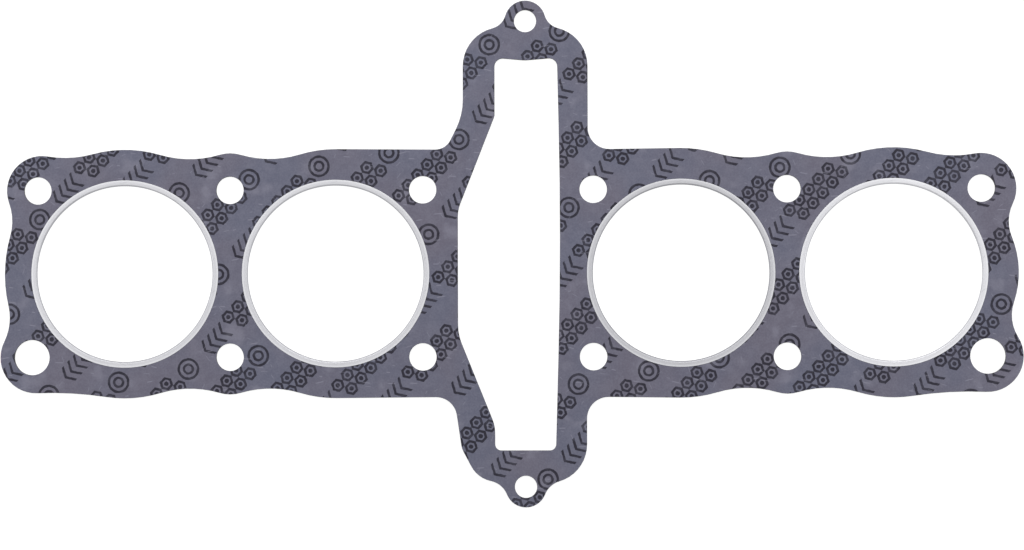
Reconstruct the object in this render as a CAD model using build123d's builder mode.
from build123d import *
from collections import namedtuple
from math import asin, atan2, cos, degrees, radians, sin, sqrt, tan
import os

# Head gasket of an air-cooled four-cylinder engine, with its chain tunnel between the two middle cylinders.
# Millimetres. X runs along the row of cylinders, Y across it, Z up through the gasket.
# The origin is on the cylinders' centreline, midway between the inner two, on the plane the gasket lies on.

# Bores and fire rings
bore_diameter = 67.4
flange_width = 2.25
ring_steel = 0.2
bridge_width = 13.6
tunnel_side = 30.15

# Facing sheet, and the seats pressed into it for the fire rings
sheet_thickness = 1.2
seat_depth = 0.1
wall_gap = 0.05
flange_gap = 0.15

# Stud holes round each bore, and the larger dowel holes at two corners
stud_diameter = 10.5
stud_web = 5.09
stud_angle = 43.73
dowel_diameter = 13.5
dowel_shift = 2.25

# Land left outside the fire rings and round the holes
bore_land = 11.75
middle_land = 9.0
corner_land = 8.2
dowel_land = 6.95

# Hollow blends between the lobes along the two long sides
long_blend = 40.0
dowel_blend = 140.0

# The two ends, each with its own round past the outer bore, its blends, and how far it is cut back
left_end_radius = 54.0
left_end_blend = 20.5
left_end_inset = 1.5
right_end_radius = 36.0
right_end_blend = 15.5
right_end_inset = 0.15

# Both chain towers, measured from the tunnel's centre line
tunnel_x = 6.7
bolt_diameter = 8.5
ear_land = 3.6
root_fillet = 8.2
root_inset = 0.3

# Top tower, with rises measured from the long straight edge and drops from its bolt
top_bolt_rise = 48.8
top_ear_blend = 7.0
top_shoulder_radius = 15.0
top_shoulder_spread = 8.9
top_shoulder_drop = 17.25
kink_rise = 13.2
kink_angle = 26.5
kink_radius = 25.0
kink_root_fillet = 6.5

# Bottom tower, measured in the same way, with a slanting left side
bottom_bolt_rise = 34.0
bottom_ear_blend = 8.4
bottom_shoulder_radius = 14.8
bottom_shoulder_spread = 8.6
bottom_shoulder_drop = 16.3
chin_radius = 11.0
chin_spread = 11.2
chin_drop = 13.0
cheek_radius = 7.8
cheek_spread = 17.0
cheek_rise = 17.2
cheek_root_spread = 27.5
cheek_root_fillet = 8.0

# Chain tunnel window, with a bulge on its left side and a slight bow on its right
window_left = 11.75
window_right_top = 12.2
window_right_bottom = 11.5
window_bottom_web = 9.65
bolt_web = 10.75
web_dip = 0.7
window_top_corner = 3.1
window_bottom_corner = 2.4
bulge_depth = 14.15
bulge_top = 24.2
bulge_bottom = -23.4
bulge_top_radius = 13.0
bulge_bottom_radius = 20.0
neck_top_length = 22.0
neck_bottom_length = 9.4
neck_top_radius = 2.6
neck_bottom_radius = 14.0
bow_depth = 1.55
bow_height = 12.0
bow_radius = 1800.0

# Radii and heights that follow
bore_radius = bore_diameter / 2
ring_radius = bore_radius + flange_width
stud_radius = stud_diameter / 2
dowel_radius = dowel_diameter / 2
bolt_radius = bolt_diameter / 2
sheet_bottom = ring_steel - seat_depth
sheet_top = sheet_bottom + sheet_thickness
ring_height = sheet_top + sheet_bottom

# Hole centres that follow
inner_bore_x = tunnel_side + ring_radius
outer_bore_x = inner_bore_x + 2 * bore_radius + bridge_width
stud_reach = ring_radius + stud_web + stud_radius
stud_row = stud_reach * sin(radians(stud_angle))
inner_stud_x = inner_bore_x - stud_reach * cos(radians(stud_angle))
middle_stud_x = (inner_bore_x + outer_bore_x) / 2
outer_stud_x = outer_bore_x + stud_reach * cos(radians(stud_angle))
dowel_x = outer_stud_x + dowel_shift
edge_y = ring_radius + bore_land
root_y = edge_y - root_inset
top_bolt_y = edge_y + top_bolt_rise
bottom_bolt_y = -edge_y - bottom_bolt_rise

bore_centres = [(x, 0) for x in (-outer_bore_x, -inner_bore_x, inner_bore_x, outer_bore_x)]
stud_centres = [(side * x, row * stud_row)
                for side in (-1, 1) for row in (-1, 1) for x in (inner_stud_x, middle_stud_x)]
stud_centres += [(side * outer_stud_x, stud_row) for side in (-1, 1)]
dowel_centres = [(side * dowel_x, -stud_row) for side in (-1, 1)]
bolt_centres = [(tunnel_x, top_bolt_y), (tunnel_x, bottom_bolt_y)]

# One round of an edge. Its turn is 1 where the edge bulges outwards and -1 where it is hollow.
Round = namedtuple("Round", "x y radius turn")


def lobe(centre, radius):
    """An outward round about a centre."""
    return Round(centre[0], centre[1], radius, 1)


def corner(before, here, after, radius):
    """The round that trims the corner at here, between the straight edges to before and after."""
    back = (Vector(*before) - Vector(*here)).normalized()
    ahead = (Vector(*after) - Vector(*here)).normalized()
    half_angle = radians(back.get_angle(ahead)) / 2
    centre = Vector(*here) + (back + ahead).normalized() * (radius / sin(half_angle))
    turn = 1 if back.cross(ahead).Z < 0 else -1
    return Round(centre.X, centre.Y, radius, turn)


def corners(points):
    """Rounds for every corner of a closed outline, given as x, y and radius."""
    places = [(x, y) for x, y, radius in points]
    return [corner(places[i - 1], places[i], places[(i + 1) % len(places)], points[i][2])
            for i in range(len(points))]


def hollow(a, b, radius):
    """The hollow blend that touches rounds a and b on the outer side of the way from a to b."""
    along = Vector(b.x - a.x, b.y - a.y)
    near, far = a.radius + radius, b.radius + radius
    forward = (near**2 - far**2 + along.length**2) / (2 * along.length)
    outward = Vector(along.Y, -along.X).normalized() * sqrt(near**2 - forward**2)
    centre = Vector(a.x, a.y) + along.normalized() * forward + outward
    return Round(centre.X, centre.Y, radius, -1)


def facing_point(a, b):
    """The point of round a that faces the centre of round b."""
    return Vector(a.x, a.y) + Vector(b.x - a.x, b.y - a.y).normalized() * a.radius


def tangent_points(a, b):
    """Where a straight edge leaves round a and where it reaches round b."""
    along = Vector(b.x - a.x, b.y - a.y)
    lean = degrees(asin((a.turn * a.radius - b.turn * b.radius) / along.length))
    right = along.normalized().rotate(Axis.Z, lean - 90)
    return (Vector(a.x, a.y) + right * a.turn * a.radius, Vector(b.x, b.y) + right * b.turn * b.radius)


def draw_arc(around, start, end):
    """The arc of a round from one point on it to another, the way that the round turns."""
    first = degrees(atan2(start.Y - around.y, start.X - around.x))
    last = degrees(atan2(end.Y - around.y, end.X - around.x))
    sweep = around.turn * ((last - first) * around.turn % 360)
    CenterArc((around.x, around.y), around.radius, first, sweep)


def draw_edge(chain):
    """A closed edge, counter-clockwise. After each round comes its blend's radius, or 0 for a straight."""
    rounds, blends = chain[0::2], chain[1::2]
    leaves, reaches = [], []
    for a, b, blend in zip(rounds, rounds[1:] + rounds[:1], blends):
        if blend:
            between = hollow(a, b, blend)
            leave, reach = facing_point(a, between), facing_point(b, between)
            draw_arc(between, leave, reach)
        else:
            leave, reach = tangent_points(a, b)
            Line(leave, reach)
        leaves.append(leave)
        reaches.append(reach)
    for around, start, end in zip(rounds, reaches[-1:] + reaches[:-1], leaves):
        draw_arc(around, start, end)


def field_edge(end_radius, end_blend, end_inset):
    """The edge round the right-hand pair of cylinders, from below the inner bore to above it."""
    inner_bore, outer_bore = lobe((inner_bore_x, 0), edge_y), lobe((outer_bore_x, 0), edge_y)
    low_stud = lobe((middle_stud_x, -stud_row), stud_radius + middle_land)
    high_stud = lobe((middle_stud_x, stud_row), stud_radius + middle_land)
    dowel = lobe((dowel_x - end_inset, -stud_row), dowel_radius + dowel_land)
    end = lobe((outer_bore_x + edge_y - end_inset - end_radius, 0), end_radius)
    corner_stud = lobe((outer_stud_x - end_inset, stud_row), stud_radius + corner_land)
    return [inner_bore, long_blend, low_stud, long_blend, outer_bore, dowel_blend, dowel, end_blend, end,
            end_blend, corner_stud, long_blend, outer_bore, long_blend, high_stud, long_blend, inner_bore]


def mirrored(chain):
    """The same run of edge on the other side of the engine's middle plane."""
    return [Round(-item.x, item.y, item.radius, item.turn) if isinstance(item, Round) else item
            for item in reversed(chain)]


def top_tower_edge():
    """The edge of the top tower, from its right-hand root over the ear to its left-hand root."""
    half = top_shoulder_spread + top_shoulder_radius
    shoulder_y = top_bolt_y - top_shoulder_drop
    wall, far_wall = tunnel_x + half, tunnel_x - half
    kink_y = root_y + kink_rise
    root_x = far_wall - kink_rise * tan(radians(kink_angle))
    return [
        corner((inner_bore_x, root_y), (wall, root_y), (wall, shoulder_y), root_fillet), 0,
        lobe((tunnel_x + top_shoulder_spread, shoulder_y), top_shoulder_radius), top_ear_blend,
        lobe((tunnel_x, top_bolt_y), bolt_radius + ear_land), top_ear_blend,
        lobe((tunnel_x - top_shoulder_spread, shoulder_y), top_shoulder_radius), 0,
        corner((far_wall, shoulder_y), (far_wall, kink_y), (root_x, root_y), kink_radius), 0,
        corner((far_wall, kink_y), (root_x, root_y), (-inner_bore_x, root_y), kink_root_fillet)]


def bottom_tower_edge():
    """The edge of the bottom tower, from its left-hand root under the ear to its right-hand root."""
    wall = tunnel_x + bottom_shoulder_spread + bottom_shoulder_radius
    shoulder_y = bottom_bolt_y + bottom_shoulder_drop
    cheek = lobe((tunnel_x - cheek_spread, -root_y - cheek_rise), cheek_radius)
    cheek_side = (cheek.x - cheek_radius, cheek.y)
    root_x = tunnel_x - cheek_root_spread
    return [
        corner((-inner_bore_x, -root_y), (root_x, -root_y), cheek_side, cheek_root_fillet), 0,
        cheek, 0,
        lobe((tunnel_x - chin_spread, bottom_bolt_y + chin_drop), chin_radius), bottom_ear_blend,
        lobe((tunnel_x, bottom_bolt_y), bolt_radius + ear_land), bottom_ear_blend,
        lobe((tunnel_x + bottom_shoulder_spread, shoulder_y), bottom_shoulder_radius), 0,
        corner((wall, shoulder_y), (wall, -root_y), (inner_bore_x, -root_y), root_fillet)]


def outer_edge():
    """The whole outer edge of the sheet, counter-clockwise."""
    right = field_edge(right_end_radius, right_end_blend, right_end_inset)
    left = mirrored(field_edge(left_end_radius, left_end_blend, left_end_inset))
    return right + [0] + top_tower_edge() + [0] + left + [0] + bottom_tower_edge() + [0]


def window_edge():
    """The chain tunnel window, counter-clockwise, with its top edge held off the bolt by a round land."""
    land = Round(tunnel_x, top_bolt_y, bolt_radius + bolt_web, -1)
    top = top_bolt_y - land.radius + web_dip
    bottom = bottom_bolt_y + bolt_radius + window_bottom_web
    left = tunnel_x - window_left
    bulge = left - bulge_depth
    rounds = corners([
        (left, top, window_top_corner),
        (left, top - neck_top_length, neck_top_radius),
        (bulge, bulge_top, bulge_top_radius),
        (bulge, bulge_bottom, bulge_bottom_radius),
        (left, bottom + neck_bottom_length, neck_bottom_radius),
        (left, bottom, window_bottom_corner),
        (tunnel_x + window_right_bottom, bottom, window_bottom_corner),
        (tunnel_x + window_right_top + bow_depth, bow_height, bow_radius),
        (tunnel_x + window_right_top, top, window_top_corner)])
    chain = []
    for item in rounds + [land]:
        chain += [item, 0]
    return chain


# Facing sheet, cut through for the bores, studs, dowels, bolts and chain
with BuildPart() as sheet:
    with BuildSketch(Plane.XY.offset(sheet_bottom)):
        with BuildLine():
            draw_edge(outer_edge())
        make_face()
        with BuildLine():
            draw_edge(window_edge())
        make_face(mode=Mode.SUBTRACT)
        with Locations(*bore_centres):
            Circle(bore_radius + ring_steel + wall_gap, mode=Mode.SUBTRACT)
        with Locations(*stud_centres):
            Circle(stud_radius, mode=Mode.SUBTRACT)
        with Locations(*dowel_centres):
            Circle(dowel_radius, mode=Mode.SUBTRACT)
        with Locations(*bolt_centres):
            Circle(bolt_radius, mode=Mode.SUBTRACT)
    extrude(amount=sheet_thickness)
    # Seats pressed round each bore into both faces
    for seat_z in (sheet_bottom, sheet_top - seat_depth):
        with BuildSketch(Plane.XY.offset(seat_z)):
            with Locations(*bore_centres):
                Circle(ring_radius + flange_gap)
        extrude(amount=seat_depth, mode=Mode.SUBTRACT)

os.makedirs("parts", exist_ok=True)
sheet.part.label = "gasket_sheet"
export_step(sheet.part, "parts/gasket_sheet.step")

# Steel fire rings, each folded round its bore's edge and down onto both faces
for number, (bore_x, bore_y) in enumerate(bore_centres, start=1):
    with BuildPart() as ring:
        with BuildSketch(Plane((bore_x, bore_y, 0), x_dir=(1, 0, 0), z_dir=(0, -1, 0))):
            with BuildLine():
                Polyline(
                    (bore_radius, 0),
                    (ring_radius, 0),
                    (ring_radius, ring_steel),
                    (bore_radius + ring_steel, ring_steel),
                    (bore_radius + ring_steel, ring_height - ring_steel),
                    (ring_radius, ring_height - ring_steel),
                    (ring_radius, ring_height),
                    (bore_radius, ring_height),
                    close=True)
            make_face()
        revolve(axis=Axis((bore_x, bore_y, 0), (0, 0, 1)))
    ring.part.label = f"fire_ring_{number}"
    export_step(ring.part, f"parts/fire_ring_{number}.step")
